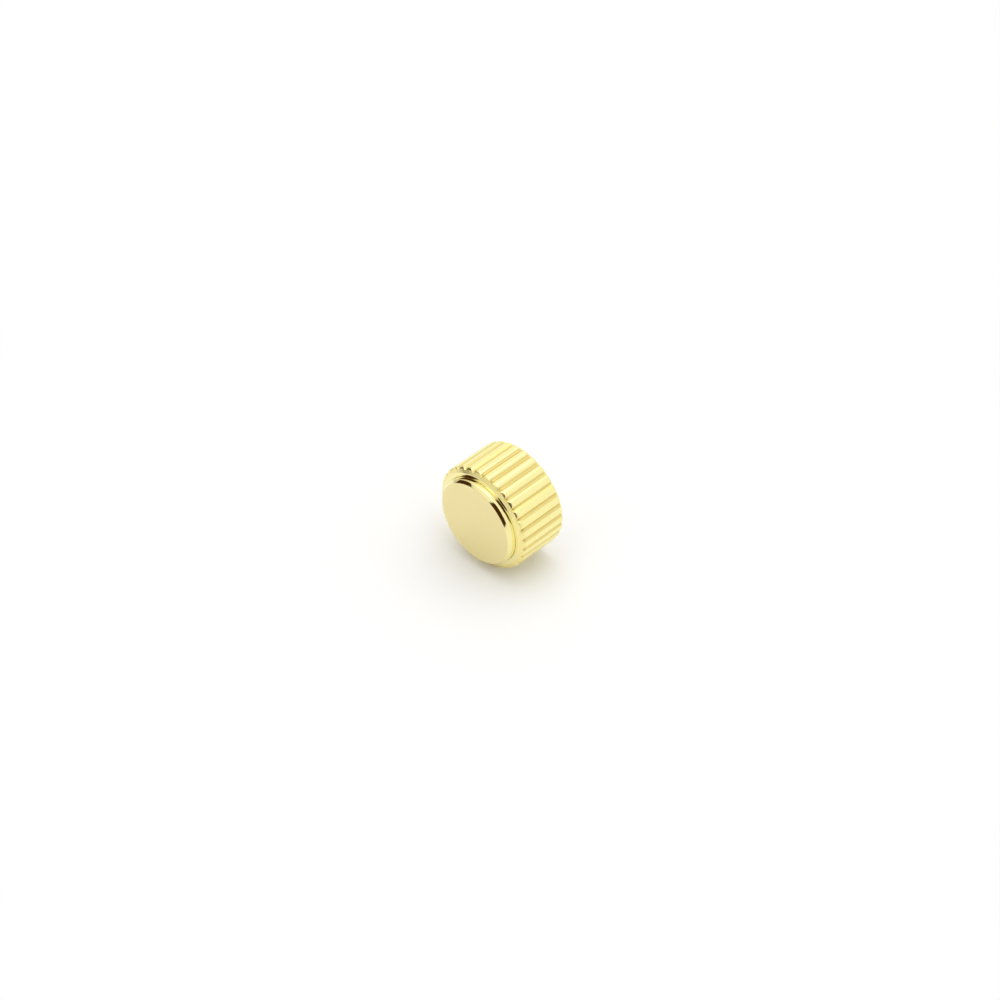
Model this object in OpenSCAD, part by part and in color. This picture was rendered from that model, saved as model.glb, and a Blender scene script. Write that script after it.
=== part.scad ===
// Screw-down watch crown, lying on its fluted rim.
// The axis runs along Y: the raised disc faces -Y, the mouth for the case tube faces +Y.
// The origin is on the axis at the mouth. Inside, depth is counted from the mouth towards the disc.

/* [Head] */
// Diameter over the crests of the ribs
head_d = 7.0; // [6.6:0.1:9]
// Number of flutes round the barrel, even so that the crown rests on two ribs either way up
flute_count = 30; // [24:2:36]
// Depth of a flute below the crests
flute_depth = 0.13; // [0.06:0.01:0.2]
// Radius of the rounded crest of one rib
rib_r = 0.42; // [0.36:0.01:0.6]
// Radius of the rounded shoulder behind the disc
shoulder_round = 0.35; // [0.2:0.01:0.5]
// Width of the flat ring between the disc and the rounded shoulder
shoulder_flat = 0.25; // [0.1:0.01:0.5]
// Radius of the rounded edge on the case side
rim_round = 0.18; // [0.05:0.01:0.3]
// Width of the rim on the case side
rim_w = 0.75; // [0.5:0.01:0.95]
// Depth of the ring-shaped recess between the rim and the sleeve
recess_depth = 0.35; // [0.1:0.01:0.8]
// Thickness of the wall between the bore and the disc's seat
end_wall = 0.28; // [0.15:0.01:0.6]

/* [Face disc] */
// Height of the disc above the shoulder
disc_proud = 0.5; // [0.2:0.01:0.8]
// Depth of the seat that the disc is set in
disc_seat = 0.15; // [0.05:0.01:0.3]
// Radius of the disc's rounded edge
disc_round = 0.14; // [0.03:0.01:0.19]

/* [Thread sleeve] */
// Diameter of the thread for the case tube
thread_d = 3.0; // [2.6:0.1:3.2]
// Length of that thread, from the mouth
thread_len = 0.9; // [0.9:0.01:2]
// Length of the lead-in at the mouth
thread_lead = 0.1; // [0.05:0.01:0.2]
// Wall of the sleeve round the thread
sleeve_wall = 0.6; // [0.5:0.01:0.7]
// How far the gasket's undercut reaches beyond the thread
undercut = 0.2; // [0.17:0.01:0.35]
// Thickness of the shoulder that holds the core in
stop_t = 0.2; // [0.1:0.01:0.5]

/* [Gasket] */
// Thickness of the rubber ring
gasket_section = 0.45; // [0.3:0.01:0.55]
// Thickness of the washer behind the rubber ring
gasket_washer_t = 0.1; // [0.05:0.01:0.3]

/* [Core] */
// Diameter of the core's shank, which the case tube slides over
shank_d = 1.9; // [1.7:0.05:1.95]
// How far the shank's end lies inside the inner end of the thread
core_drop = 0.02; // [0:0.01:0.1]
// Distance across the flats of the six-sided head
hex_af = 2.6; // [2.5:0.05:2.7]
// Length of the six-sided head
hex_len = 0.6; // [0.55:0.01:1]
// Diameter of the tapped hole for the winding stem
stem_thread_d = 0.9; // [0.7:0.1:1]
// Length of the tapped hole
stem_thread_len = 1.15; // [0.8:0.01:1.25]
// Length of the lead-in at the tapped hole
stem_lead = 0.08; // [0.03:0.01:0.15]
// Wall of the boss round the tapped hole, inside the spring
boss_wall = 0.17; // [0.1:0.01:0.2]
// Depth of the ring-shaped pocket that takes the spring
pocket_depth = 0.45; // [0.3:0.01:0.5]
// Width of that pocket
pocket_w = 0.42; // [0.3:0.01:0.5]
// Small bevels on the ends of the core
core_bevel = 0.06; // [0.02:0.01:0.1]

/* [Drive bush and thrust washer] */
// Wall of the drive bush at the corners of its six-sided hole
bush_wall = 0.2; // [0.12:0.01:0.25]
// Thickness of the thrust washer
thrust_t = 0.1; // [0.05:0.01:0.3]
// Width of the thrust washer
thrust_w = 1.0; // [0.95:0.01:1.1]

/* [Spring] */
// Diameter of the wire
wire_d = 0.12; // [0.08:0.01:0.12]
// Turns of the spring, with half a flat turn at each end
spring_turns = 3; // [2:0.5:3]

/* [Motion] */
// How far the core slides into the head
travel = 0.65; // [0.4:0.01:0.65]
// Gap left above the core at the end of its travel
end_gap = 0.05; // [0.02:0.01:0.2]

/* [Clearances] */
// Gap on the radius between pieces that are pressed or laid together
seat_gap = 0.01; // [0.005:0.001:0.02]
// Gap on the radius round the sliding shank
slide_gap = 0.05; // [0.02:0.01:0.08]
// Gap between the six-sided head and the drive bush
hex_gap = 0.04; // [0.02:0.01:0.08]
// Room left for the rubber ring in its undercut
gasket_gap = 0.02; // [0.01:0.005:0.04]

/* [Hidden] */
$fn = 96;

gold = [0.95, 0.82, 0.42];
satin_gold = [0.90, 0.80, 0.50];
steel = [0.72, 0.73, 0.75];
bronze = [0.78, 0.62, 0.34];
rubber = [0.13, 0.13, 0.14];

// Radii
head_r = head_d / 2;
root_r = head_r - flute_depth;
disc_r = head_r - shoulder_round - shoulder_flat;
thread_r = thread_d / 2;
sleeve_r = thread_r + sleeve_wall;
shank_r = shank_d / 2;
stem_r = stem_thread_d / 2;
boss_r = stem_r + boss_wall;
pocket_r = boss_r + pocket_w;
spring_r = (boss_r + pocket_r) / 2;
hex_corner = 1 / cos(30);
bush_r = (hex_af / 2 + hex_gap) * hex_corner + bush_wall;
seat_r = thread_r + undercut;

// Depths from the mouth
core_u = thread_len + core_drop;
washer_u = thread_len + gasket_section + gasket_gap;
stop_u = washer_u + gasket_washer_t;
hex_u = stop_u + stop_t;
thrust_u = hex_u + hex_len + travel + end_gap;
bore_u = thrust_u + thrust_t;
disc_u = bore_u + end_wall;
shoulder_u = disc_u + disc_seat;
face_u = shoulder_u + disc_proud;

// How far a cut runs past the face that it opens
past = 0.1;

// Turns depth, counted up from the mouth, towards the disc
module along_axis() {
    rotate([90, 0, 0]) children();
}

// A ring or disc between two depths and two radii
module ring(inner, outer, from, to) {
    translate([0, 0, from]) difference() {
        cylinder(r = outer, h = to - from);
        if (inner > 0) translate([0, 0, -past]) cylinder(r = inner, h = to - from + 2 * past);
    }
}

// A cut through everything between two depths
module bore(radius, from, to) {
    translate([0, 0, from]) cylinder(r = radius, h = to - from);
}

// Half outline of a round body whose two outer edges are rounded
module rounded_outline(radius, low, high, low_round, high_round) {
    translate([0, low]) square([radius - low_round, high - low]);
    translate([0, low + low_round]) square([radius, high - low - low_round - high_round]);
    translate([0, low]) square([radius - high_round, high - low]);
    translate([radius - low_round, low + low_round]) circle(r = low_round);
    translate([radius - high_round, high - high_round]) circle(r = high_round);
}

// The barrel with its ribs: a flute lies straight below the axis, so two ribs carry the crown
module fluted_bar(from, to) {
    translate([0, 0, from]) {
        cylinder(r = root_r, h = to - from);
        for (i = [0 : flute_count - 1])
            rotate([0, 0, -90 + (i + 0.5) * 360 / flute_count])
                translate([head_r - rib_r, 0, 0])
                    cylinder(r = rib_r, h = to - from);
    }
}

module crown_head() {
    color(gold) along_axis() difference() {
        intersection() {
            fluted_bar(-past, shoulder_u + past);
            rotate_extrude() rounded_outline(head_r, 0, shoulder_u, rim_round, shoulder_round);
        }
        ring(sleeve_r + seat_gap - past, head_r - rim_w, -past, recess_depth);
        bore(sleeve_r + seat_gap, -past, bore_u);
        bore(disc_r + seat_gap, disc_u, shoulder_u + past);
    }
}

module face_disc() {
    color(satin_gold) along_axis() difference() {
        rotate_extrude() rounded_outline(disc_r, disc_u - disc_round, face_u, disc_round, disc_round);
        bore(disc_r + past, disc_u - disc_round - past, disc_u);
    }
}

module thread_sleeve() {
    bush_seat_r = bush_r + seat_gap;
    color(steel) along_axis() difference() {
        ring(0, sleeve_r, 0, bore_u);
        bore(thread_r, -past, thread_len + past);
        translate([0, 0, -past])
            cylinder(r1 = thread_r + thread_lead + past, r2 = thread_r, h = thread_lead + past);
        bore(seat_r, thread_len, stop_u);
        bore(shank_r + slide_gap, stop_u - past, hex_u + past);
        bore(bush_seat_r, hex_u, bore_u + past);
    }
}

module drive_bush() {
    color(bronze) along_axis() difference() {
        ring(0, bush_r, hex_u, thrust_u);
        translate([0, 0, hex_u - past])
            cylinder(r = (hex_af / 2 + hex_gap) * hex_corner, h = thrust_u - hex_u + 2 * past, $fn = 6);
    }
}

module stem_core() {
    hex_r = hex_af / 2 * hex_corner;
    color(steel) along_axis() difference() {
        union() {
            translate([0, 0, core_u])
                cylinder(r1 = shank_r - core_bevel, r2 = shank_r, h = core_bevel);
            ring(0, shank_r, core_u + core_bevel, hex_u + past);
            intersection() {
                translate([0, 0, hex_u]) cylinder(r = hex_r, h = hex_len, $fn = 6);
                ring(0, hex_r - core_bevel, hex_u, hex_u + hex_len);
            }
        }
        ring(boss_r, pocket_r, hex_u + hex_len - pocket_depth, hex_u + hex_len + past);
        bore(stem_r, core_u - past, core_u + stem_thread_len);
        translate([0, 0, core_u - past])
            cylinder(r1 = stem_r + stem_lead + past, r2 = stem_r, h = stem_lead + past);
    }
}

// Points round the wire of the spring, one ring of them for each step along its turns
wire_sides = 8;
steps_per_turn = 20;
function spring_rise(turn) = max(0, min(1, (turn - 0.5) / (spring_turns - 1)));
function wire_ring(turn, low, high) = [
    for (side = [0 : wire_sides - 1])
        let (
            around = side * 360 / wire_sides,
            radius = spring_r + wire_d / 2 * cos(around),
            up = low + (high - low) * spring_rise(turn) + wire_d / 2 * sin(around)
        )
        [radius * cos(turn * 360), radius * sin(turn * 360), up]
];

module core_spring() {
    low = hex_u + hex_len - pocket_depth + wire_d / 2 + seat_gap;
    high = thrust_u - wire_d / 2 - seat_gap;
    steps = spring_turns * steps_per_turn;
    points = [for (i = [0 : steps]) each wire_ring(i / steps_per_turn, low, high)];
    walls = [
        for (i = [0 : steps - 1], side = [0 : wire_sides - 1])
            let (
                next = (side + 1) % wire_sides,
                a = i * wire_sides + side,
                b = i * wire_sides + next,
                c = b + wire_sides,
                d = a + wire_sides
            )
            each [[a, c, b], [a, d, c]]
    ];
    first_end = [for (side = [1 : wire_sides - 2]) [0, side, side + 1]];
    last = steps * wire_sides;
    last_end = [for (side = [1 : wire_sides - 2]) [last, last + side + 1, last + side]];
    color(steel) along_axis() polyhedron(points = points, faces = concat(walls, first_end, last_end));
}

module thrust_washer() {
    color(steel) along_axis() ring(bush_r - thrust_w, bush_r, thrust_u, bore_u);
}

module tube_gasket() {
    ring_r = seat_r - gasket_gap - gasket_section / 2;
    color(rubber) along_axis() translate([0, 0, thread_len + gasket_gap / 2 + gasket_section / 2])
        rotate_extrude() translate([ring_r, 0]) circle(r = gasket_section / 2);
}

module gasket_washer() {
    color(bronze) along_axis() ring(shank_r + 2 * slide_gap, seat_r - seat_gap, washer_u, stop_u);
}

crown_head();
face_disc();
thread_sleeve();
drive_bush();
stem_core();
core_spring();
thrust_washer();
tube_gasket();
gasket_washer();
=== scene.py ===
"""A screw-down watch crown in yellow gold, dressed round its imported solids.

The classes below measure as a watchmaker would: in millimetres, with depths counted from the mouth that
takes the case tube towards the raised disc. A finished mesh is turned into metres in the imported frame,
where the crown's axis is Y and the disc faces -Y.
"""

import logging
import math
from collections.abc import Callable, Sequence
from dataclasses import dataclass
from enum import Enum

import bmesh
import bpy
from mathutils import Matrix, Vector


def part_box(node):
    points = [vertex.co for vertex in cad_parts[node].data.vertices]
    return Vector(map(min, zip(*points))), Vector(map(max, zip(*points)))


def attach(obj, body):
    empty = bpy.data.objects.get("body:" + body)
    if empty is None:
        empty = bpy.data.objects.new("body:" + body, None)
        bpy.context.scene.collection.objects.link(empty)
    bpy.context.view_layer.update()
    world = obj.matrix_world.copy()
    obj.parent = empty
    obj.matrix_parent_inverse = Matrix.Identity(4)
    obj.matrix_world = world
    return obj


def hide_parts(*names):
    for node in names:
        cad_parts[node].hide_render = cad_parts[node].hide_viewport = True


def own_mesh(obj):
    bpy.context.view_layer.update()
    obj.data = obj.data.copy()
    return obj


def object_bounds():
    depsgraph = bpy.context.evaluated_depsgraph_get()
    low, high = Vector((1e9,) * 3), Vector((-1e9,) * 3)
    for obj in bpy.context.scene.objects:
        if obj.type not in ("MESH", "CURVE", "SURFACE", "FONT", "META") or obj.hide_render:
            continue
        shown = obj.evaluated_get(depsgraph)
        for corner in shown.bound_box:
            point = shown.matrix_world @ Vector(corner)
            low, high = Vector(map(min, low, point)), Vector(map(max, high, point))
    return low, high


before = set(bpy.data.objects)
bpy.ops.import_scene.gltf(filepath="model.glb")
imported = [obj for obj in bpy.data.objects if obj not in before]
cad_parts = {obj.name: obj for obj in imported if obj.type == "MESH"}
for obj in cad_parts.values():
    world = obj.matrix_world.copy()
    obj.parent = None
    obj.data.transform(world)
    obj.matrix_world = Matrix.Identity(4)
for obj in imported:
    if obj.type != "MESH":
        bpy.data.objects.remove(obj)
CAD_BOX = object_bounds()

LOG = logging.getLogger("crown")
MM = 0.001
MERGE = 0.0001
SHARP = math.radians(40)
HEX = 6
FLUTES = 30
BACKWARD = (0.0, 1.0, 0.0)
CROWN_AXIS = Vector(BACKWARD)

Triple = tuple[float, float, float]
Color = Triple
Pair = tuple[float, float]
Fade = Pair
Rule = Callable[[float, float, float], float]
WHITE: Color = (1.0, 1.0, 1.0)


class Body(Enum):
    """The two bodies that move apart."""

    HEAD = "head"
    CORE = "core"


class Slot(Enum):
    """The material slots that the record names."""

    POLISHED_GOLD = "polished_gold"
    SATIN_GOLD = "satin_gold"
    TURNED_STEEL = "turned_steel"
    BRONZE = "bronze"
    SPRING_STEEL = "spring_steel"
    BLACK_RUBBER = "black_rubber"


class Value:
    """One output of a shader node, so that shader maths is written as a Python expression."""

    def __init__(self, graph: "Graph", socket: bpy.types.NodeSocket) -> None:
        """Keeps the output and the graph that it belongs to."""
        self.graph = graph
        self.socket = socket

    def __add__(self, other: "Value | float") -> "Value":
        """Adds two values."""
        return self.graph.math("ADD", self, other)

    def __sub__(self, other: "Value | float") -> "Value":
        """Takes another value from this one."""
        return self.graph.math("SUBTRACT", self, other)

    def __rsub__(self, other: float) -> "Value":
        """Takes this value from a number."""
        return self.graph.math("SUBTRACT", other, self)

    def __mul__(self, other: "Value | float") -> "Value":
        """Multiplies two values."""
        return self.graph.math("MULTIPLY", self, other)

    def __pow__(self, other: float) -> "Value":
        """Raises this value to a power."""
        return self.graph.math("POWER", self, other)

    __radd__ = __add__
    __rmul__ = __mul__

    def ramp(self, low: float, high: float) -> "Value":
        """Eases from 0 where this value is low to 1 where it is high.

        Args:
            low: The value at which the result leaves 0. It may lie above the other.
            high: The value at which the result reaches 1.

        Returns:
            A value from 0 to 1.
        """
        inputs = {"Value": self, "From Min": low, "From Max": high}
        return self.graph.add("ShaderNodeMapRange", {"interpolation_type": "SMOOTHSTEP"}, inputs)["Result"]


class Graph:
    """The nodes of one material, world or other shader."""

    def __init__(self, tree: bpy.types.NodeTree) -> None:
        """Starts from an empty tree."""
        self.tree = tree
        tree.nodes.clear()

    def add(self, kind: str, settings: dict | None = None, inputs: dict | None = None) -> dict[str, Value]:
        """Adds a node.

        Args:
            kind: The node's type, such as ShaderNodeTexNoise.
            settings: Its own settings, which are set first because they change its sockets.
            inputs: What goes into its sockets, by name or by place: a Value, a number or a vector.

        Returns:
            The node's outputs by name.
        """
        node = self.tree.nodes.new(kind)
        for name, setting in (settings or {}).items():
            setattr(node, name, setting)
        for key, content in (inputs or {}).items():
            self.fill(self.pick(node, key), content)
        return {output.name: Value(self, output) for output in node.outputs if output.enabled}

    @staticmethod
    def pick(node: bpy.types.Node, key: str | int) -> bpy.types.NodeSocket:
        """Finds an input socket.

        Args:
            node: The node.
            key: The name of a socket in use, or its place.

        Returns:
            The socket.
        """
        if isinstance(key, int):
            return node.inputs[key]
        return next(socket for socket in node.inputs if socket.name == key and socket.enabled)

    def fill(self, socket: bpy.types.NodeSocket, content: "Value | float | tuple") -> None:
        """Links a value to a socket, or sets what is plain on it.

        Args:
            socket: The socket.
            content: A value, a number, a vector or a colour.
        """
        if isinstance(content, Value):
            self.tree.links.new(content.socket, socket)
        elif isinstance(content, tuple) and socket.type == "RGBA":
            socket.default_value = (*content, 1.0)
        else:
            socket.default_value = content

    def math(self, operation: str, *operands: "Value | float") -> Value:
        """Adds a Math node on one or more values."""
        return self.add("ShaderNodeMath", {"operation": operation}, dict(enumerate(operands)))["Value"]

    def mix(self, factor: Value, first: "Value | Color", second: "Value | Color") -> Value:
        """Goes from one colour to another as the factor goes from 0 to 1."""
        inputs = {"Factor": factor, "A": first, "B": second}
        return self.add("ShaderNodeMix", {"data_type": "RGBA"}, inputs)["Result"]

    def noise(self, place: Value, scale: float, detail: float = 2.0) -> Value:
        """Adds soft noise with about this many blotches to the millimetre."""
        inputs = {"Vector": place, "Scale": scale, "Detail": detail}
        return self.add("ShaderNodeTexNoise", {"noise_dimensions": "3D"}, inputs)["Fac"]


class CrownGraph(Graph):
    """The nodes of a finish, with the places on the crown that its patterns follow."""

    def __init__(self, name: str) -> None:
        """Makes the material and reads the place, radius, depth and angle, in millimetres and radians.

        Args:
            name: The material's name.
        """
        self.material = bpy.data.materials.new(name)
        self.material.use_nodes = True
        super().__init__(self.material.node_tree)
        place = self.add("ShaderNodeTexCoord")["Object"]
        inputs = {0: place, "Scale": 1 / MM}
        self.place = self.add("ShaderNodeVectorMath", {"operation": "SCALE"}, inputs)["Vector"]
        axes = self.add("ShaderNodeSeparateXYZ", inputs={0: self.place})
        self.across, self.height = axes["X"], axes["Z"]
        self.depth = axes["Y"] * -1.0
        self.radius = (self.across * self.across + self.height * self.height) ** 0.5
        self.angle = self.math("ARCTAN2", self.across, self.height)

    def stretched(self, scale: Triple) -> Value:
        """Stretches the place along X, Y and Z."""
        inputs = {0: self.place, 1: scale}
        return self.add("ShaderNodeVectorMath", {"operation": "MULTIPLY"}, inputs)["Vector"]

    def rings(self, lines: float, waver: float) -> Value:
        """Makes the fine rings that a turning tool leaves.

        Args:
            lines: How many rings there are to the millimetre, along a face or along the axis.
            waver: How fast the rings change round the axis.

        Returns:
            The height of the rings, from 0 to 1.
        """
        inputs = {"X": self.radius * lines, "Y": self.depth * lines, "Z": self.angle * waver}
        groove = self.add("ShaderNodeCombineXYZ", inputs=inputs)["Vector"]
        return self.noise(groove, scale=1.0, detail=1.0)

    def bump(self, height: Value, size: float) -> Value:
        """Turns a height from 0 to 1 into a relief of this size in micrometres."""
        inputs = {"Height": height, "Distance": size * MM * MM, "Strength": 1.0}
        return self.add("ShaderNodeBump", inputs=inputs)["Normal"]

    def finish(self, inputs: dict) -> bpy.types.Material:
        """Ends the material in one shader.

        Args:
            inputs: What goes into the shader's sockets.

        Returns:
            The finished material.
        """
        shader = self.add("ShaderNodeBsdfPrincipled", inputs=inputs)["BSDF"]
        self.add("ShaderNodeOutputMaterial", inputs={"Surface": shader})
        return self.material


@dataclass(frozen=True)
class Finish:
    """A finish of the crown.

    Attributes:
        name: The material's name.
        slot: The record's slot that it belongs to. It is not used.
        color: Its plain colour.
        roughness: Its plain roughness.
    """

    name: str
    slot: Slot
    color: Color
    roughness: float

    def material(self) -> bpy.types.Material:
        """Gives the material, made the first time that it is asked for."""
        return bpy.data.materials.get(self.name) or self.dress(CrownGraph(self.name))

    def dress(self, graph: CrownGraph) -> bpy.types.Material:
        """Builds the nodes of one kind of finish."""
        raise NotImplementedError


@dataclass(frozen=True)
class PolishedGold(Finish):
    """Gold plate with a bright polish, a little duller in the flutes, with painted highlights and painted
    shade.

    A pair of radii or depths is a fade, from where it begins to where it is full. A pair called a wave is
    one too, across a flute, where 1 is the middle of the flute and -1 the crest of a rib.

    Attributes:
        rib_highlight_color: A paler gold over the ribbed barrel: a painted highlight on the crests.
        flute_shade_color: A darker gold in the bottom of a flute: painted shade.
        notch_shade_color: A dark brown where a flute runs out on the shoulder: painted shade.
        step_highlight_color: A paler gold in the step round the disc, where it mirrors the disc's wall: a
            painted highlight.
        flutes: How many flutes the barrel has.
        barrel_radii: Where the barrel's and the shoulder's finish comes in.
        rib_start: Where the ribs' painted highlight and the flutes' painted shade come in behind the rim.
        rib_end: Where they go out again towards the shoulder.
        flute_wave: Where a flute's painted shade comes in.
        flute_share: How much of that painted shade shows at least, and what the drawn marks add.
        notch_start: Where the painted shade at a flute's end comes in.
        notch_end: Where it goes out again.
        notch_wave: Where it comes in across the flute.
        notch_share: How much of it shows.
        step_radii: Where the step's finish, with its painted highlight, comes in from outside.
        step_depths: Where it comes in from behind.
        barrel_roughness: The roughness of the barrel and the shoulder.
        flute_roughness: What a flute adds to it.
        worn_roughness: What smears and hairlines add to it.
        drawn_marks: How fine the marks along the ribs are, along X, Y and Z.
        scuff_marks: How fine the scuffs round the barrel are, in the same way.
        hairline_width: How wide a hairline is, as a part of the scuffs' noise.
        hairline_share: How deep it is, as a part of the relief.
        lines: How many rings there are to the millimetre, off the barrel.
        relief: The height of the marks, in micrometres.
    """

    rib_highlight_color: Color = (0.97, 0.89, 0.40)
    flute_shade_color: Color = (0.74, 0.57, 0.18)
    notch_shade_color: Color = (0.40, 0.28, 0.08)
    step_highlight_color: Color = (0.955, 0.87, 0.45)
    flutes: int = FLUTES
    barrel_radii: Fade = (3.2, 3.3)
    rib_start: Fade = (0.03, 0.15)
    rib_end: Fade = (3.34, 3.14)
    flute_wave: Fade = (-0.1, 0.8)
    flute_share: Pair = (0.6, 0.3)
    notch_start: Fade = (3.09, 3.21)
    notch_end: Fade = (3.37, 3.31)
    notch_wave: Fade = (0.0, 0.9)
    notch_share: float = 0.4
    step_radii: Fade = (3.2, 3.14)
    step_depths: Fade = (3.3, 3.4)
    barrel_roughness: float = 0.21
    flute_roughness: float = 0.06
    worn_roughness: float = 0.05
    drawn_marks: Triple = (24.0, 0.8, 24.0)
    scuff_marks: Triple = (0.5, 9.0, 0.5)
    hairline_width: float = 0.02
    hairline_share: float = 0.2
    lines: float = 16.0
    relief: float = 0.35

    def dress(self, graph: CrownGraph) -> bpy.types.Material:
        """Builds the material's nodes.

        Args:
            graph: The graph of the new material.

        Returns:
            The finished material.
        """
        barrel = graph.radius.ramp(*self.barrel_radii)
        wave = graph.math("COSINE", graph.angle * self.flutes)
        ribs = barrel * graph.depth.ramp(*self.rib_start) * graph.depth.ramp(*self.rib_end)
        flute = wave.ramp(*self.flute_wave) * ribs
        # Painted shade where each flute runs out on the shoulder.
        notch_shade = graph.depth.ramp(*self.notch_start) * graph.depth.ramp(*self.notch_end)
        notch_shade = notch_shade * wave.ramp(*self.notch_wave) * barrel
        step = graph.radius.ramp(*self.step_radii) * graph.depth.ramp(*self.step_depths)
        drawn = graph.noise(graph.stretched(self.drawn_marks), scale=1.0)
        smear = graph.noise(graph.place, scale=0.9, detail=3.0)
        scuff = graph.math("ABSOLUTE", graph.noise(graph.stretched(self.scuff_marks), scale=1.0) - 0.5)
        hairline = scuff.ramp(self.hairline_width, 0.0) * barrel
        turned_marks = graph.rings(self.lines, waver=0.6) * (1 - barrel)
        relief = drawn * barrel + turned_marks - hairline * self.hairline_share
        least, more = self.flute_share
        # Painted highlight: a paler gold over the ribbed barrel.
        crest = graph.mix(ribs, self.color, self.rib_highlight_color)
        # Painted shade: a darker gold down in the flutes, broken up by the drawn marks.
        deep = graph.mix(flute * (least + drawn * more), crest, self.flute_shade_color)
        # Painted highlight: a paler gold in the step round the disc.
        plain = graph.mix(step, deep, self.step_highlight_color)
        dull = self.roughness + (1 - step) * (self.barrel_roughness - self.roughness)
        worn = smear * self.worn_roughness + flute * self.flute_roughness + hairline * self.worn_roughness
        return graph.finish({
            # The painted shade at the flutes' ends goes over the rest.
            "Base Color": graph.mix(notch_shade * self.notch_share, plain, self.notch_shade_color),
            "Metallic": 1.0,
            "Roughness": dull + worn,
            "Normal": graph.bump(relief, self.relief),
        })


@dataclass(frozen=True)
class SatinGold(Finish):
    """Gold plate with a fine satin face and a polished edge, and a painted highlight on the wall below the
    edge.

    A pair of radii or depths is a fade, from where it begins to where it is full.

    Attributes:
        edge_color: The colour of the polished edge.
        wall_highlight_color: A paler gold on the wall below it, which mirrors the step: a painted highlight.
        edge_depths: Where the edge's colour takes over from the wall's painted highlight.
        edge_roughness: The roughness of both.
        face_radii: Where the satin face comes in from its edge.
        face_depths: Where it comes in from behind.
        face_share: How much of the satin's colour shows at least, and what the clouds on it add.
        cloud_roughness: What the clouds add to the face's roughness.
        grain: How many grains there are to the millimetre.
        lines: How many lapped rings there are to the millimetre.
        line_share: Their height at least, as a part of the grain's, and what it gains on the face.
        relief: The height of the grain, in micrometres.
    """

    edge_color: Color = (0.95, 0.85, 0.40)
    wall_highlight_color: Color = (0.96, 0.89, 0.52)
    edge_depths: Fade = (3.66, 3.72)
    edge_roughness: float = 0.08
    face_radii: Fade = (2.77, 2.71)
    face_depths: Fade = (3.97, 3.99)
    face_share: Pair = (0.8, 0.4)
    cloud_roughness: float = 0.06
    grain: float = 42.0
    lines: float = 30.0
    line_share: Pair = (0.25, 0.35)
    relief: float = 0.7

    def dress(self, graph: CrownGraph) -> bpy.types.Material:
        """Builds the material's nodes.

        Args:
            graph: The graph of the new material.

        Returns:
            The finished material.
        """
        face = graph.radius.ramp(*self.face_radii) * graph.depth.ramp(*self.face_depths)
        grain = graph.noise(graph.place, self.grain)
        cloud = graph.noise(graph.place, scale=1.1, detail=3.0)
        least, more = self.line_share
        relief = grain * face + graph.rings(self.lines, waver=3.0) * (least + face * more)
        least, more = self.face_share
        # Painted highlight: a paler gold on the wall below the polished edge.
        edge = graph.mix(graph.depth.ramp(*self.edge_depths), self.wall_highlight_color, self.edge_color)
        satin = self.roughness - self.edge_roughness + cloud * self.cloud_roughness
        return graph.finish({
            "Base Color": graph.mix(face * (least + cloud * more), edge, self.color),
            "Metallic": 1.0,
            "Roughness": self.edge_roughness + face * satin,
            "Normal": graph.bump(relief, self.relief),
        })


@dataclass(frozen=True)
class TurnedMetal(Finish):
    """Metal as it comes off the lathe, with fine rings round the axis.

    Attributes:
        stain: Its colour where it has dulled.
        stain_fade: Where the noise of the stains begins to show, and where it is full.
        stain_share: How much of that colour shows at least, and what the rings add.
        stain_roughness: What the stains add to its roughness.
        lines: How many rings there are to the millimetre.
        band: How many rings a broad band covers.
        band_share: The height of the bands, as a part of the rings'.
        band_roughness: What the bands add to its roughness.
        relief: The height of the rings, in micrometres.
    """

    stain: Color
    stain_fade: Fade = (0.45, 0.75)
    stain_share: Pair = (0.4, 0.5)
    stain_roughness: float = 0.08
    lines: float = 22.0
    band: float = 5.0
    band_share: float = 0.6
    band_roughness: float = 0.12
    relief: float = 1.2

    def dress(self, graph: CrownGraph) -> bpy.types.Material:
        """Builds the material's nodes.

        Args:
            graph: The graph of the new material.

        Returns:
            The finished material.
        """
        rings = graph.rings(self.lines, waver=0.5)
        bands = graph.rings(self.lines / self.band, waver=0.2)
        dull = graph.noise(graph.place, scale=1.6, detail=3.0).ramp(*self.stain_fade)
        least, more = self.stain_share
        return graph.finish({
            "Base Color": graph.mix(dull * (least + rings * more), self.color, self.stain),
            "Metallic": 1.0,
            "Roughness": self.roughness + bands * self.band_roughness + dull * self.stain_roughness,
            "Normal": graph.bump(rings + bands * self.band_share, self.relief),
        })


@dataclass(frozen=True)
class DrawnWire(Finish):
    """Hard-drawn spring wire, with fine marks from the die.

    Attributes:
        straw_color: Its colour where the heat of setting has tinted it.
        straw_fade: Where the noise of the tint begins to show, and where it is full.
        die_marks: How fine the marks are along X, Y and Z.
        mark_roughness: What the marks add to its roughness.
        relief: The height of the marks, in micrometres.
    """

    straw_color: Color = (0.60, 0.57, 0.50)
    straw_fade: Fade = (0.4, 0.8)
    die_marks: Triple = (3.0, 60.0, 3.0)
    mark_roughness: float = 0.15
    relief: float = 0.6

    def dress(self, graph: CrownGraph) -> bpy.types.Material:
        """Builds the material's nodes.

        Args:
            graph: The graph of the new material.

        Returns:
            The finished material.
        """
        marks = graph.noise(graph.stretched(self.die_marks), scale=1.0)
        straw = graph.noise(graph.place, scale=2.0).ramp(*self.straw_fade)
        return graph.finish({
            "Base Color": graph.mix(straw, self.color, self.straw_color),
            "Metallic": 1.0,
            "Roughness": self.roughness + marks * self.mark_roughness,
            "Normal": graph.bump(marks, self.relief),
        })


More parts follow.
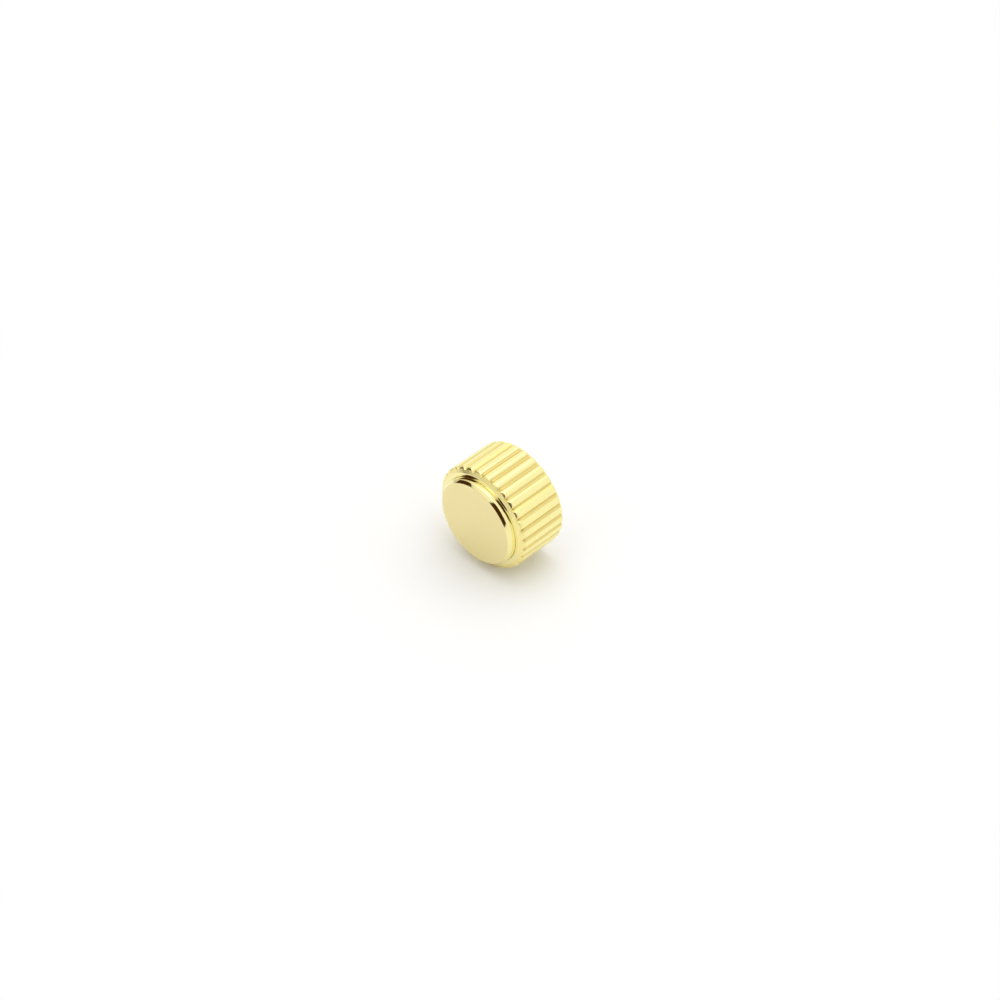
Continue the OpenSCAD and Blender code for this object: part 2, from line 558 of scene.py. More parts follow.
@dataclass(frozen=True)
class MouldedRubber(Finish):
    """Moulded black rubber with a trace of grease.

    Attributes:
        grain_color: The colour that its grain adds.
        grain: How many grains there are to the millimetre.
        grain_share: How much of that colour shows on a grain.
        grain_roughness: What a grain adds to its roughness.
        grease_fade: Where the noise of the grease begins to show, and where it is full.
        grease_polish: What the grease takes from its roughness.
        grease_coat: The weight of the grease as a clear coat.
        relief: The height of the grain, in micrometres.
    """

    grain_color: Color = (0.075, 0.075, 0.08)
    grain: float = 30.0
    grain_share: float = 0.5
    grain_roughness: float = 0.1
    grease_fade: Fade = (0.45, 0.65)
    grease_polish: float = 0.2
    grease_coat: float = 0.3
    relief: float = 1.5

    def dress(self, graph: CrownGraph) -> bpy.types.Material:
        """Builds the material's nodes.

        Args:
            graph: The graph of the new material.

        Returns:
            The finished material.
        """
        grain = graph.noise(graph.place, self.grain, detail=3.0)
        grease = graph.noise(graph.place, scale=2.4).ramp(*self.grease_fade)
        rough = self.roughness - grease * self.grease_polish + grain * self.grain_roughness
        return graph.finish({
            "Base Color": graph.mix(grain * self.grain_share, self.color, self.grain_color),
            "Roughness": rough,
            "Coat Weight": grease * self.grease_coat,
            "Normal": graph.bump(grain, self.relief),
        })


POLISHED = PolishedGold("gold_polished", Slot.POLISHED_GOLD, (0.95, 0.825, 0.34), 0.06)
SATIN = SatinGold("gold_satin", Slot.SATIN_GOLD, (0.875, 0.765, 0.39), 0.28)
STEEL = TurnedMetal("steel_turned", Slot.TURNED_STEEL, (0.72, 0.73, 0.75), 0.20, (0.60, 0.60, 0.61))
BRONZE = TurnedMetal("bronze_turned", Slot.BRONZE, (0.78, 0.62, 0.34), 0.26, (0.55, 0.39, 0.20))
WIRE = DrawnWire("wire_drawn", Slot.SPRING_STEEL, (0.66, 0.67, 0.70), 0.22)
RUBBER = MouldedRubber("rubber_moulded", Slot.BLACK_RUBBER, (0.035, 0.035, 0.038), 0.52)


@dataclass(frozen=True)
class Reach:
    """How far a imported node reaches.

    Attributes:
        radius: Its reach from the axis.
        near: The depth of its end on the mouth's side.
        far: The depth of its end on the disc's side.
    """

    radius: float
    near: float
    far: float

    @classmethod
    def of(cls, node: str) -> "Reach":
        """Reads a node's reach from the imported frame."""
        low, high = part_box(node)
        return cls(high.x / MM, -high.y / MM, -low.y / MM)


@dataclass(frozen=True)
class Corner:
    """A corner of an outline that is turned about the axis.

    Attributes:
        radius: Its distance from the axis.
        depth: Its depth below the mouth.
        rounding: How far from the corner its rounding begins, or 0 where it is sharp.
        segments: How many straight stretches the rounding has.
        rows: How many rows of faces the stretch to the next corner has.
    """

    radius: float
    depth: float
    rounding: float = 0.0
    segments: int = 4
    rows: int = 1

    @property
    def point(self) -> Vector:
        """Its place in the plane of the outline."""
        return Vector((self.radius, -self.depth, 0.0))


@dataclass(frozen=True)
class Thread:
    """A right-handed screw thread cut in a hole.

    Attributes:
        radius: The hole's radius at the roots of the thread.
        pitch: The distance from one turn to the next.
        height: How far the ridges stand inwards.
        start: The depth of the hole's end on the mouth's side.
        lead: How far the cone at that end widens the hole.
        fade: The depth over which the ridges fade out at the hole's other end.
        end: The depth of that end.
        rows: How many rows of faces its wall has.
        profile: How much of half a pitch is flat root, and how much is flank.
    """

    radius: float
    pitch: float
    height: float
    start: float
    lead: float
    end: float
    fade: float
    rows: int
    profile: Pair = (0.1, 0.72)

    def cut(self, radius: float, angle: float, depth: float) -> float:
        """Cuts the thread in the wall of the hole, and leaves the rest of the body as it is.

        Args:
            radius: A point's distance from the axis.
            angle: Its angle round the axis, from straight up.
            depth: Its depth below the mouth.

        Returns:
            Its new distance from the axis.
        """
        inside = self.start + self.lead - MERGE < depth < self.end + MERGE
        if not inside or abs(radius - self.radius) >= MERGE:
            return radius
        turn = -depth / self.pitch - angle / math.tau
        flat, flank = self.profile
        ridge = 1 - abs(2 * (turn % 1) - 1)
        ridge = min(1.0, max(0.0, (ridge - flat) / flank))
        ridge *= ridge * (3 - 2 * ridge)
        if self.fade > 0:
            ridge *= min(1.0, max(0.0, (self.end - depth) / self.fade))
        cone = self.radius + self.lead - (depth - self.start)
        return max(self.radius - self.height * ridge, cone)


def lesser(first: float, second: float, blend: float) -> float:
    """Gives the lesser of two radii, rounded over where they cross.

    Args:
        first: One radius.
        second: The other radius.
        blend: The difference up to which the two are blended.

    Returns:
        The blended radius.
    """
    share = max(0.0, 1 - abs(first - second) / blend)
    return min(first, second) - blend * share * share / 4


def greater(first: float, second: float, blend: float) -> float:
    """Gives the greater of two radii, filled in where they cross."""
    return -lesser(-first, -second, blend)


def off_nearest(angle: float, count: int) -> float:
    """Gives how far an angle lies from the nearest of evenly spaced directions, the first straight up."""
    step = math.tau / count
    return abs((angle + step / 2) % step - step / 2)


def middle_of(edge: bmesh.types.BMEdge) -> Vector:
    """Gives the middle of an edge."""
    first, second = edge.verts
    return (first.co + second.co) / 2


def turned(corners: Sequence[Corner], steps: int) -> bmesh.types.BMesh:
    """Turns a closed outline about the crown's axis.

    Args:
        corners: The corners of the outline, in order. Two on the axis leave that side of it open.
        steps: How many faces go round.

    Returns:
        The turned body, in millimetres.
    """
    mesh = bmesh.new()
    points = [mesh.verts.new(corner.point) for corner in corners]
    for first, second in zip(points, points[1:] + points[:1]):
        if first.co.x > 0 or second.co.x > 0:
            mesh.edges.new((first, second))
    for corner, point in zip(corners, points):
        if corner.rounding > 0:
            bmesh.ops.bevel(mesh, geom=[point], offset=corner.rounding, offset_type="OFFSET",
                            segments=corner.segments, profile=0.5, affect="VERTICES", material=-1)
    for corner, after in zip(corners, corners[1:] + corners[:1]):
        if corner.rows > 1:
            middle = (corner.point + after.point) / 2
            edge = min(mesh.edges, key=lambda each: (middle_of(each) - middle).length)
            bmesh.ops.bisect_edges(mesh, edges=[edge], cuts=corner.rows - 1)
    bmesh.ops.spin(mesh, geom=mesh.verts[:] + mesh.edges[:], cent=(0, 0, 0), axis=CROWN_AXIS, dvec=(0, 0, 0),
                   angle=math.tau, space=Matrix(), steps=steps, use_merge=True, use_normal_flip=False,
                   use_duplicate=False)
    return mesh


def reshape(mesh: bmesh.types.BMesh, rule: Rule) -> None:
    """Moves every point of a turned body in or out.

    Args:
        mesh: The body.
        rule: Gives a point's new distance from the axis for its old one, its angle and its depth.
    """
    for point in mesh.verts:
        radius = math.hypot(point.co.x, point.co.z)
        if radius > MERGE:
            share = rule(radius, math.atan2(point.co.x, point.co.z), -point.co.y) / radius
            point.co.x *= share
            point.co.z *= share


def crowd(mesh: bmesh.types.BMesh, count: int, share: float) -> None:
    """Draws the columns of a turned body together, evenly round the axis.

    Args:
        mesh: The body.
        count: How many places the columns are drawn to, the first straight up.
        share: How much closer they stand there, from 0 to 1.
    """
    for point in mesh.verts:
        turn = -share * math.sin(count * math.atan2(point.co.x, point.co.z)) / count
        point.co = Matrix.Rotation(turn, 3, CROWN_AXIS) @ point.co


def linked(name: str, data: bpy.types.ID) -> bpy.types.Object:
    """Makes an object at the origin and links it into the scene.

    Args:
        name: The object's name.
        data: Its mesh, lamp or camera.

    Returns:
        The object.
    """
    made = bpy.data.objects.new(name, data)
    bpy.context.scene.collection.objects.link(made)
    return made


def seat(mesh: bmesh.types.BMesh, name: str, node: str, body: Body, finish: Finish) -> bpy.types.Object:
    """Makes a piece of a mesh in millimetres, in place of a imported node.

    Args:
        mesh: The mesh, which is used up.
        name: The piece's name.
        node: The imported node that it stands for.
        body: The body that it moves with.
        finish: What it is finished in.

    Returns:
        The piece, in metres.
    """
    bmesh.ops.remove_doubles(mesh, verts=mesh.verts[:], dist=MERGE)
    bmesh.ops.recalc_face_normals(mesh, faces=mesh.faces[:])
    bmesh.ops.scale(mesh, vec=(MM, MM, MM), verts=mesh.verts[:])
    data = bpy.data.meshes.new(name)
    mesh.to_mesh(data)
    mesh.free()
    data.materials.append(finish.material())
    data.shade_smooth()
    data.set_sharp_from_angle(angle=SHARP)
    piece = linked(name, data)
    weighted = piece.modifiers.new("even_faces", "WEIGHTED_NORMAL")
    weighted.keep_sharp = True
    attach(piece, body.value)
    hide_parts(node)
    LOG.info("%s stands for %s with %d faces", name, node, len(data.polygons))
    return piece


@dataclass
class GoldHead:
    """The gold head: the fluted shell, and the disc that is set in its front.

    Attributes:
        flutes: How many flutes the barrel has.
        flute_depth: Their depth below the crests.
        rib_round: The radius of a rib's rounded crest.
        rib_foot: The fillet between a rib and the bottom of a flute.
        rib_end: The rounding where the ribs run out on the turned edges.
        shoulder_round: Where the rounding of the barrel's edge begins, on which the ribs run out.
        shoulder_drop: How far the shoulder's cone falls from the front to that edge.
        ring_width: The width of the flat ring between the cone and the disc.
        flute_end: The depth at which a flute begins to fall away to the shoulder.
        flute_round: The radius of the curve on which it falls away.
        flute_fall: How far along that curve it goes, as a part of the radius.
        rim_round: Where the rounding of the barrel's other edge begins.
        rim_width: The width of the rim on the case side.
        rim_edge: The rounding of the rim's inner edge.
        recess_depth: The depth of the recess inside the rim.
        recess_round: The rounding of the recess's corner.
        pocket_edge: The rounding of the edge of the disc's seat.
        edge_width: The width of the disc's polished edge, across the disc.
        edge_height: Its height.
        edge_round: The rounding above and below it.
        seat_gap: The gap round a piece that is pressed in.
        edge_break: The rounding of the small edges.
        columns: How many faces go round one flute.
        crowding: How much closer they stand in the bottom of a flute, from 0 to 1.
    """

    flutes: int = FLUTES
    flute_depth: float = 0.13
    rib_round: float = 0.42
    rib_foot: float = 0.03
    rib_end: float = 0.016
    shoulder_round: float = 0.14
    shoulder_drop: float = 0.19
    ring_width: float = 0.24
    flute_end: float = 3.14
    flute_round: float = 0.2
    flute_fall: float = 0.75
    rim_round: float = 0.18
    rim_width: float = 0.75
    rim_edge: float = 0.05
    recess_depth: float = 0.35
    recess_round: float = 0.08
    pocket_edge: float = 0.008
    edge_width: float = 0.16
    edge_height: float = 0.19
    edge_round: float = 0.03
    seat_gap: float = 0.01
    edge_break: float = 0.02
    columns: int = 24
    crowding: float = 0.45

    def __post_init__(self) -> None:
        """Reads the places of the two pieces and of the sleeve inside them."""
        self.shell = Reach.of("crown_head")
        self.disc = Reach.of("face_disc")
        self.sleeve = Reach.of("thread_sleeve")

    def fluted(self, radius: float, angle: float, depth: float) -> float:
        """Limits the barrel's radius to its ribs and flutes.

        Args:
            radius: A point's distance from the axis.
            angle: Its angle round the axis, from straight up.
            depth: Its depth below the mouth.

        Returns:
            Its new distance from the axis.
        """
        root = self.shell.radius - self.flute_depth
        if radius < root - self.flute_depth:
            return radius
        middle = self.shell.radius - self.rib_round
        off_rib = math.pi / self.flutes - off_nearest(angle, self.flutes)
        rib = middle * math.cos(off_rib) + math.sqrt(self.rib_round ** 2 - (middle * math.sin(off_rib)) ** 2)
        past = min(max(0.0, depth - self.flute_end), self.flute_fall * self.flute_round)
        fall = self.flute_round - math.sqrt(self.flute_round ** 2 - past ** 2)
        fall *= (off_rib * self.flutes / math.pi) ** 2
        return lesser(radius, greater(rib, root, self.rib_foot) - fall, self.rib_end)

    def make_shell(self) -> None:
        """Makes the shell, with its ribs run out on the rounded shoulder."""
        bore = self.sleeve.radius + self.seat_gap
        pocket = self.disc.radius + self.seat_gap
        rim = self.shell.radius - self.rim_width
        edge = self.shell.far - self.shoulder_drop
        mesh = turned([
            Corner(rim, 0.0, self.rim_edge),
            Corner(self.shell.radius, 0.0, self.rim_round, segments=14, rows=4),
            Corner(self.shell.radius, edge, self.shoulder_round, segments=20, rows=20),
            Corner(self.disc.radius + self.ring_width, self.shell.far, self.edge_break),
            Corner(pocket, self.shell.far, self.pocket_edge),
            Corner(pocket, self.disc.near),
            Corner(0.0, self.disc.near),
            Corner(0.0, self.sleeve.far),
            Corner(bore, self.sleeve.far),
            Corner(bore, self.recess_depth, self.edge_break),
            Corner(rim, self.recess_depth, self.recess_round),
        ], self.flutes * self.columns)
        crowd(mesh, self.flutes, self.crowding)
        reshape(mesh, self.fluted)
        seat(mesh, "fluted_shell", "crown_head", Body.HEAD, POLISHED)

    def make_disc(self) -> None:
        """Makes the raised disc, with its polished edge."""
        mesh = turned([
            Corner(0.0, self.disc.far),
            Corner(self.disc.radius - self.edge_width, self.disc.far, self.edge_round, segments=6),
            Corner(self.disc.radius, self.disc.far - self.edge_height, self.edge_round, segments=6),
            Corner(self.disc.radius, self.disc.near, self.edge_break),
            Corner(0.0, self.disc.near),
        ], self.flutes * self.columns // 2)
        seat(mesh, "raised_disc", "face_disc", Body.HEAD, SATIN)


@dataclass
class ThreadedMouth:
    """The works pressed into the head: the threaded sleeve, the drive bush and the thrust washer.

    Attributes:
        thread: The thread that takes the case tube.
        relief_radius: The radius of the gasket's undercut.
        stop_radius: The radius of the hole in the shoulder that holds the core in.
        stop_near: The depth of that shoulder's near side.
        washer_hole: The radius of the hole in the thrust washer.
        bush_flats: The distance across the flats of the bush's hole.
        countersink: How far the bush's hole is opened at its ends.
        seat_gap: The gap round a piece that is pressed in.
        edge_break: The rounding of the small edges.
        steps: How many faces go round.
    """

    thread: Thread = Thread(radius=1.5, pitch=0.35, height=0.19, start=0.0, lead=0.1, end=0.9, fade=0.0,
                            rows=104)
    relief_radius: float = 1.7
    stop_radius: float = 1.0
    stop_near: float = 1.47
    washer_hole: float = 0.747
    bush_flats: float = 2.68
    countersink: float = 0.07
    seat_gap: float = 0.01
    edge_break: float = 0.03
    steps: int = 240

    def __post_init__(self) -> None:
        """Reads the places of the three pieces."""
        self.sleeve = Reach.of("thread_sleeve")
        self.bush = Reach.of("drive_bush")
        self.washer = Reach.of("thrust_washer")

    def make_sleeve(self) -> None:
        """Makes the sleeve, with its thread cut."""
        thread = self.thread
        bush_seat = self.bush.radius + self.seat_gap
        mesh = turned([
            Corner(thread.radius + thread.lead, thread.start),
            Corner(self.sleeve.radius, self.sleeve.near, self.edge_break),
            Corner(self.sleeve.radius, self.sleeve.far, self.edge_break),
            Corner(bush_seat, self.sleeve.far),
            Corner(bush_seat, self.bush.near),
            Corner(self.stop_radius, self.bush.near, self.edge_break),
            Corner(self.stop_radius, self.stop_near, self.edge_break),
            Corner(self.relief_radius, self.stop_near, self.edge_break),
            Corner(self.relief_radius, thread.end),
            Corner(thread.radius, thread.end, rows=thread.rows),
            Corner(thread.radius, thread.start + thread.lead),
        ], self.steps)
        reshape(mesh, thread.cut)
        seat(mesh, "tube_sleeve", "thread_sleeve", Body.HEAD, STEEL)

    def six_sided(self, radius: float, angle: float, depth: float) -> float:
        """Opens the bush's hole to its six flats.

        Args:
            radius: A point's distance from the axis.
            angle: Its angle round the axis, from straight up.
            depth: Its depth below the mouth.

        Returns:
            Its new distance from the axis.
        """
        if radius > self.bush.radius - self.edge_break - MERGE:
            return radius
        return max(radius, self.bush_flats / 2 / math.cos(off_nearest(angle, HEX)))

    def make_bush(self) -> None:
        """Makes the drive bush, with its six-sided hole."""
        flat = self.bush_flats / 2
        mesh = turned([
            Corner(flat + self.countersink, self.bush.near),
            Corner(self.bush.radius, self.bush.near, self.edge_break),
            Corner(self.bush.radius, self.bush.far, self.edge_break),
            Corner(flat + self.countersink, self.bush.far),
            Corner(flat, self.bush.far - self.countersink),
            Corner(flat, self.bush.near + self.countersink),
        ], self.steps)
        reshape(mesh, self.six_sided)
        seat(mesh, "hex_bush", "drive_bush", Body.HEAD, BRONZE)

    def make_washer(self) -> None:
        """Makes the thrust washer."""
        mesh = turned(flat_ring(self.washer, self.washer_hole, self.edge_break), self.steps)
        seat(mesh, "end_washer", "thrust_washer", Body.HEAD, STEEL)


@dataclass
class TubeSeal:
    """The seal against the end of the case tube: the rubber ring and the washer behind it.

    Attributes:
        washer_hole: The radius of the hole in the washer.
        edge_break: The rounding of the washer's edges.
        steps: How many faces go round.
        round_steps: How many faces go round the ring's section.
    """

    washer_hole: float = 1.05
    edge_break: float = 0.02
    steps: int = 192
    round_steps: int = 32

    def make_ring(self) -> None:
        """Makes the rubber ring."""
        ring = Reach.of("tube_gasket")
        half = (ring.far - ring.near) / 2
        mesh = bmesh.new()
        middle = Matrix.Translation((ring.radius - half, -(ring.near + half), 0.0))
        bmesh.ops.create_circle(mesh, cap_ends=False, segments=self.round_steps, radius=half, matrix=middle)
        bmesh.ops.spin(mesh, geom=mesh.verts[:] + mesh.edges[:], cent=(0, 0, 0), axis=CROWN_AXIS,
                       dvec=(0, 0, 0), angle=math.tau, space=Matrix(), steps=self.steps, use_merge=True,
                       use_normal_flip=False, use_duplicate=False)
        seat(mesh, "seal_ring", "tube_gasket", Body.HEAD, RUBBER)

    def make_washer(self) -> None:
        """Makes the washer behind the ring."""
        washer = Reach.of("gasket_washer")
        mesh = turned(flat_ring(washer, self.washer_hole, self.edge_break), self.steps)
        seat(mesh, "seal_washer", "gasket_washer", Body.HEAD, BRONZE)


@dataclass
class SprungCore:
    """The core that takes the winding stem, and the spring that pushes it out.

    Attributes:
        thread: The thread that takes the winding stem.
        drill_point: The depth of the cone at the bottom of the hole.
        shank_radius: The radius of the shank that the case tube slides over.
        flats: The distance across the flats of the six-sided head.
        hex_edge: The rounding where the flats meet the head's round ends.
        head_length: The length of that head.
        boss_radius: The radius of the boss inside the spring.
        pocket_radius: The outer radius of the pocket round the boss.
        pocket_depth: The depth of that pocket.
        shank_bevel: The rounding of the shank's end.
        edge_break: The rounding of the small edges.
        steps: How many faces go round the core.
        wire: The diameter of the spring's wire.
        wire_sides: How many faces go round the wire.
        turns: How many turns the spring has.
        flat_turns: How much of a turn lies flat at each end.
        turn_steps: How many faces a turn has.
        travel: How far the core slides in. It is not used.
    """

    thread: Thread = Thread(radius=0.45, pitch=0.225, height=0.12, start=0.92, lead=0.08, end=2.07, fade=0.2,
                            rows=130)
    drill_point: float = 0.1
    shank_radius: float = 0.95
    flats: float = 2.6
    hex_edge: float = 0.02
    head_length: float = 0.6
    boss_radius: float = 0.62
    pocket_radius: float = 1.04
    pocket_depth: float = 0.45
    shank_bevel: float = 0.06
    edge_break: float = 0.03
    steps: int = 192
    wire: float = 0.12
    wire_sides: int = 16
    turns: int = 3
    flat_turns: float = 0.5
    turn_steps: int = 48
    travel: float = 0.65

    def __post_init__(self) -> None:
        """Reads the places of the two pieces."""
        self.core = Reach.of("stem_core")
        self.spring = Reach.of("core_spring")

    def six_sided(self, radius: float, angle: float, depth: float) -> float:
        """Cuts the head down to its six flats.

        Args:
            radius: A point's distance from the axis.
            angle: Its angle round the axis, from straight up.
            depth: Its depth below the mouth.

        Returns:
            Its new distance from the axis.
        """
        if radius < self.pocket_radius + self.edge_break + MERGE:
            return radius
        return lesser(radius, self.flats / 2 / math.cos(off_nearest(angle, HEX)), self.hex_edge)

    def make_core(self) -> None:
        """Makes the core, with its six-sided head, spring pocket and tapped hole."""
        thread = self.thread
        head_near = self.core.far - self.head_length
        pocket_end = self.core.far - self.pocket_depth
        mesh = turned([
            Corner(thread.radius + thread.lead, thread.start),
            Corner(self.shank_radius, self.core.near, self.shank_bevel, segments=6),
            Corner(self.shank_radius, head_near),
            Corner(self.core.radius, head_near, self.edge_break),
            Corner(self.core.radius, self.core.far, self.edge_break),
            Corner(self.pocket_radius, self.core.far, self.edge_break),
            Corner(self.pocket_radius, pocket_end, self.edge_break),
            Corner(self.boss_radius, pocket_end, self.edge_break),
            Corner(self.boss_radius, self.core.far, self.edge_break),
            Corner(0.0, self.core.far),
            Corner(0.0, thread.end + self.drill_point),
            Corner(thread.radius, thread.end, rows=thread.rows),
            Corner(thread.radius, thread.start + thread.lead),
        ], self.steps)
        reshape(mesh, thread.cut)
        reshape(mesh, self.six_sided)
        seat(mesh, "sliding_core", "stem_core", Body.CORE, STEEL)

    def make_spring(self) -> None:
        """Makes the spring."""
        half = self.wire / 2
        mesh = bmesh.new()
        start = Matrix.Translation((self.spring.radius - half, -(self.spring.near + half), 0.0))
        bmesh.ops.create_circle(mesh, cap_ends=False, segments=self.wire_sides, radius=half, matrix=start)
        rise = self.spring.far - self.spring.near - self.wire
        flat = (self.flat_turns, 0.0)
        last = mesh.verts[:] + mesh.edges[:]
        for turns, step_up in (flat, (self.turns - 2 * self.flat_turns, rise), flat):
            steps = round(turns * self.turn_steps)
            spun = bmesh.ops.spin(mesh, geom=last, cent=(0, 0, 0), axis=CROWN_AXIS,
                                  dvec=(0, -step_up / steps, 0), angle=math.tau * turns, space=Matrix(),
                                  steps=steps, use_merge=False, use_normal_flip=False, use_duplicate=False)
            last = spun["geom_last"]
        ends = [edge for edge in mesh.edges if edge.is_boundary]
        bmesh.ops.holes_fill(mesh, edges=ends, sides=0)
        piece = seat(mesh, "coil_spring", "core_spring", Body.HEAD, WIRE)
        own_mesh(piece)


def flat_ring(reach: Reach, hole: float, edge_break: float) -> list[Corner]:
    """Gives the outline of a washer.

    Args:
        reach: How far the washer reaches.
        hole: The radius of its hole.
        edge_break: The rounding of its edges.

    Returns:
        The corners of its outline.
    """
    return [
        Corner(hole, reach.near, edge_break),
        Corner(reach.radius, reach.near, edge_break),
        Corner(reach.radius, reach.far, edge_break),
        Corner(hole, reach.far, edge_break),
    ]


@dataclass(frozen=True)
class Wall:
    """One side of the tent that lights the crown.

    Attributes:
        light: How bright it is, where the floor's backdrop is 1.
        side: The direction that it lies in.
        fade: Where it begins and where it is full, as a part of that direction.
    """

    light: float
    side: Triple
    fade: Fade


@dataclass
class Studio:
    """The pale floor, the soft light and the camera.

    Attributes:
        azimuth: The camera's direction round the crown, in degrees from the front.
        elevation: Its height above the horizon, in degrees.
        distance: Its distance from the disc, in millimetres.
        aside: How far it is moved to the right to frame the crown, in millimetres.
        upward: How far it is moved up, in millimetres.
        lens: Its focal length on its sensor's width, in millimetres.
        sensor: That width.
        near_clip: How near to the camera anything shows, in millimetres.
        floor_radius: The floor's radius, in metres.
        floor_steps: How many sides the floor has.
        floor_color: The floor's colour.
        floor_lift: How much the floor glows to the camera, above its own light.
        mirrored_lift: How much it glows in reflections.
        shadow_reach: Where the floor begins and ends to fade into the backdrop, in metres.
        room: The light of the dark side of the room, between the floor and the roof.
        window: The window on its other side.
        flank: The walls behind the disc, which the ribs mirror to the camera.
        rear: The wall that the mouth faces.
        roof: The roof of the tent.
        dark: The colour of what stands in the light's way.
        lens_shade: The angle that the camera hides, in degrees.
        stand_side: The direction of the stand beside the camera.
        stand_shade: The angle that the stand hides, in degrees.
        stand_reach: Where the stand begins and ends from front to back, as a part of the direction.
        stand_edge: How soft those ends are.
        front_side: The direction of what stands in front, below the camera.
        front_shade: The angle that it hides, in degrees.
        shade_edge: How soft the edges of the three angles are, as a part of their cosine.
        box_size: The side of the soft box, in metres.
        box_height: Its height above the crown.
        box_behind: How far it stands behind the crown.
        box_power: Its power, in watts.
    """

    azimuth: float = 44.38
    elevation: float = 42.49
    distance: float = 140.0
    aside: float = 1.508
    upward: float = 1.407
    lens: float = 84.96
    sensor: float = 36.0
    near_clip: float = 10.0
    floor_radius: float = 0.042
    floor_steps: int = 128
    floor_color: Color = (0.94, 0.94, 0.935)
    floor_lift: float = 0.07
    mirrored_lift: float = 0.055
    shadow_reach: Fade = (0.012, 0.04)
    room: float = 0.65
    window: Wall = Wall(0.95, (0.9, -0.43, 0.0), (-0.9, 0.8))
    flank: Wall = Wall(1.02, BACKWARD, (0.25, 0.5))
    rear: Wall = Wall(0.8, BACKWARD, (0.72, 0.95))
    roof: Wall = Wall(1.0, (0.0, 0.0, 1.0), (0.45, 0.72))
    dark: Color = (0.06, 0.022, 0.006)
    lens_shade: float = 17.0
    stand_side: Triple = (-0.84, -0.53, 0.13)
    stand_shade: float = 26.0
    stand_reach: Pair = (-0.68, -0.2)
    stand_edge: float = 0.02
    front_side: Triple = (0.42, -0.86, 0.28)
    front_shade: float = 26.0
    shade_edge: float = 0.015
    box_size: float = 0.42
    box_height: float = 0.42
    box_behind: float = 0.04
    box_power: float = 0.42

    def __post_init__(self) -> None:
        """Works out the camera's own directions."""
        turn, lift = math.radians(self.azimuth), math.radians(self.elevation)
        self.right = Vector((math.cos(turn), math.sin(turn), 0.0))
        self.up = Vector((-math.sin(turn) * math.sin(lift), math.cos(turn) * math.sin(lift), math.cos(lift)))
        self.back = self.right.cross(self.up)

    def make_camera(self) -> None:
        """Makes the camera and gives the scene to it."""
        data = bpy.data.cameras.new("camera")
        data.lens = self.lens
        data.sensor_width = self.sensor
        data.clip_start = self.near_clip * MM
        camera = linked("camera", data)
        aim = Vector((0.0, -Reach.of("face_disc").far, 0.0))
        place = aim + self.back * self.distance + self.right * self.aside + self.up * self.upward
        turn = Matrix((self.right, self.up, self.back)).transposed()
        camera.matrix_world = Matrix.Translation(place * MM) @ turn.to_4x4()
        bpy.context.scene.camera = camera

    def floor_material(self) -> bpy.types.Material:
        """Makes the floor's material, which fades into the backdrop away from the crown.

        Returns:
            The material.
        """
        material = bpy.data.materials.new("pale_floor")
        material.use_nodes = True
        graph = Graph(material.node_tree)
        ray = graph.add("ShaderNodeLightPath")
        seen = graph.math("MAXIMUM", ray["Is Camera Ray"], ray["Is Glossy Ray"])
        lift = ray["Is Camera Ray"] * self.floor_lift + ray["Is Glossy Ray"] * self.mirrored_lift
        place = graph.add("ShaderNodeTexCoord")["Object"]
        away = graph.add("ShaderNodeVectorMath", {"operation": "LENGTH"}, {0: place})["Value"]
        matt = graph.add("ShaderNodeBsdfDiffuse", inputs={"Color": self.floor_color})["BSDF"]
        glow = graph.add("ShaderNodeEmission", inputs={"Strength": lift})["Emission"]
        near = graph.add("ShaderNodeAddShader", inputs={0: matt, 1: glow})["Shader"]
        far = graph.add("ShaderNodeEmission")["Emission"]
        faded = away.ramp(*self.shadow_reach) * seen
        shown = graph.add("ShaderNodeMixShader", inputs={"Fac": faded, 1: near, 2: far})["Shader"]
        behind = graph.add("ShaderNodeNewGeometry")["Backfacing"]
        clear = graph.add("ShaderNodeBsdfTransparent")["BSDF"]
        surface = graph.add("ShaderNodeMixShader", inputs={"Fac": behind, 1: shown, 2: clear})["Shader"]
        graph.add("ShaderNodeOutputMaterial", inputs={"Surface": surface})
        return material

    def make_floor(self) -> None:
        """Makes the pale floor under the ribs that carry the crown."""
        mesh = bmesh.new()
        level = Matrix.Translation((0.0, 0.0, CAD_BOX[0].z))
        bmesh.ops.create_circle(mesh, cap_ends=True, segments=self.floor_steps, radius=self.floor_radius,
                                matrix=level)
        data = bpy.data.meshes.new("floor")
        mesh.to_mesh(data)
        mesh.free()
        data.materials.append(self.floor_material())
        linked("floor", data)

    def make_world(self) -> None:
        """Makes the light tent, white to the camera but darker in what the metal mirrors."""
        world = bpy.data.worlds.new("tent")
        world.use_nodes = True
        graph = Graph(world.node_tree)
        ray = graph.add("ShaderNodeLightPath")
        direction = graph.add("ShaderNodeTexCoord")["Generated"]

        def toward(side: Sequence[float]) -> Value:
            """Gives the cosine of the angle between the view and one side."""
            inputs = {0: direction, 1: tuple(Vector(side).normalized())}
            return graph.add("ShaderNodeVectorMath", {"operation": "DOT_PRODUCT"}, inputs)["Value"]

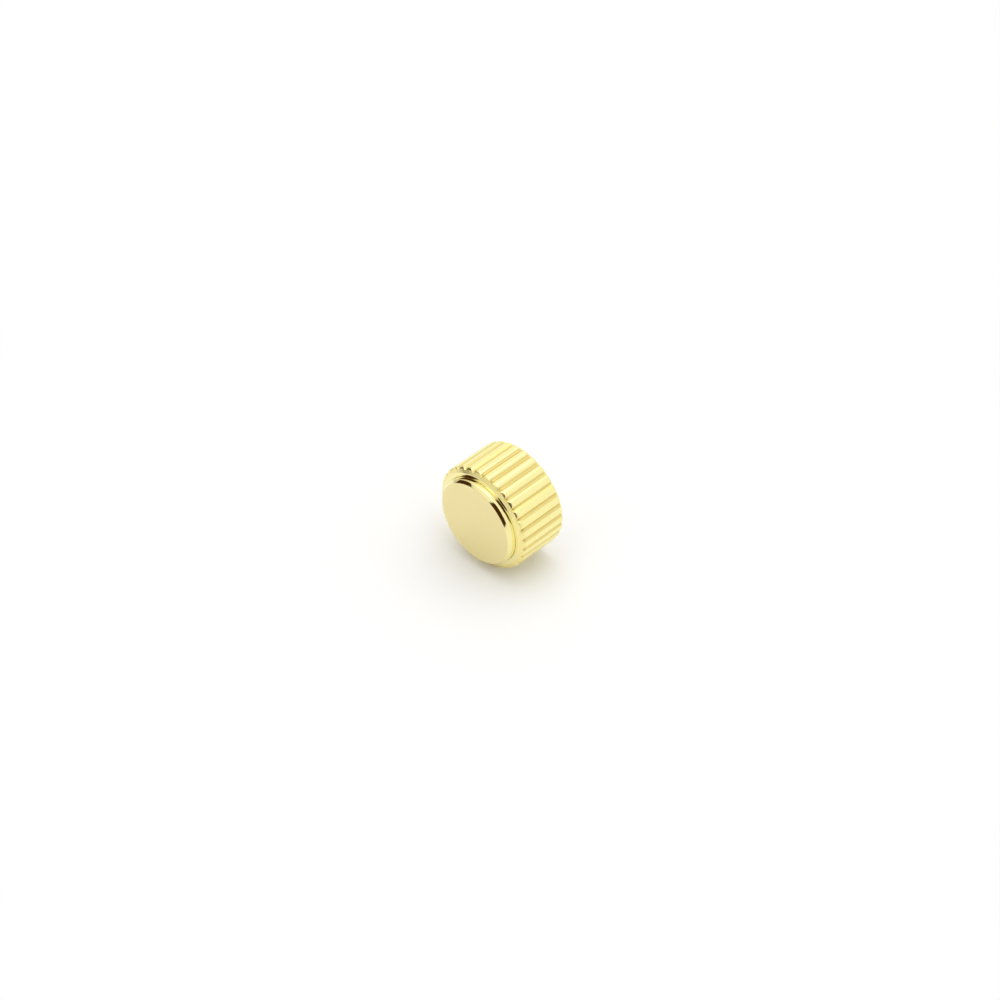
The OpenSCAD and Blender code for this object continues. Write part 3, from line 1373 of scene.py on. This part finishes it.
        def clear_of(side: Sequence[float], shade: float) -> Value:
            """Gives 0 within an angle of one side, and 1 elsewhere."""
            rim = math.cos(math.radians(shade))
            return toward(side).ramp(rim + self.shade_edge, rim - self.shade_edge)

        light = self.room
        for wall in (self.window, self.flank, self.rear, self.roof):
            light = light + toward(wall.side).ramp(*wall.fade) * (wall.light - light)
        front, back = self.stand_reach
        soft = self.stand_edge
        along = toward(BACKWARD)
        stand = along.ramp(front - soft, front + soft) * along.ramp(back + soft, back - soft)
        stand = stand * (1 - clear_of(self.stand_side, self.stand_shade))
        clear = clear_of(self.back, self.lens_shade) * clear_of(self.front_side, self.front_shade)
        clear = clear * (1 - stand)
        seen = ray["Is Camera Ray"]
        color = graph.mix(graph.math("MAXIMUM", clear, seen), self.dark, WHITE)
        strength = seen + (1 - seen) * (1 + clear * (light - 1))
        shown = graph.add("ShaderNodeBackground", inputs={"Color": color, "Strength": strength})
        graph.add("ShaderNodeOutputWorld", inputs={"Surface": shown["Background"]})
        bpy.context.scene.world = world

    def make_light(self) -> None:
        """Makes the soft box above and behind the crown."""
        data = bpy.data.lights.new("soft_box", "AREA")
        data.shape = "SQUARE"
        data.size = self.box_size
        data.energy = self.box_power
        light = linked("soft_box", data)
        behind = Vector((-self.back.x, -self.back.y, 0.0)).normalized()
        place = behind * self.box_behind + Vector((0.0, 0.0, self.box_height))
        light.matrix_world = Matrix.Translation(place) @ place.to_track_quat("Z", "Y").to_matrix().to_4x4()
        light.visible_camera = False

    def make(self) -> None:
        """Makes the whole studio."""
        self.make_camera()
        self.make_floor()
        self.make_world()
        self.make_light()
        bpy.context.scene.view_settings.view_transform = "Standard"


def main() -> None:
    """Builds the studio and then the crown, from the outside in."""
    logging.basicConfig(level=logging.INFO, format="%(name)s: %(message)s")
    Studio().make()
    head = GoldHead()
    head.make_shell()
    head.make_disc()
    mouth = ThreadedMouth()
    mouth.make_sleeve()
    mouth.make_bush()
    mouth.make_washer()
    seal = TubeSeal()
    seal.make_ring()
    seal.make_washer()
    core = SprungCore()
    core.make_core()
    core.make_spring()


if __name__ == "__main__":
    main()
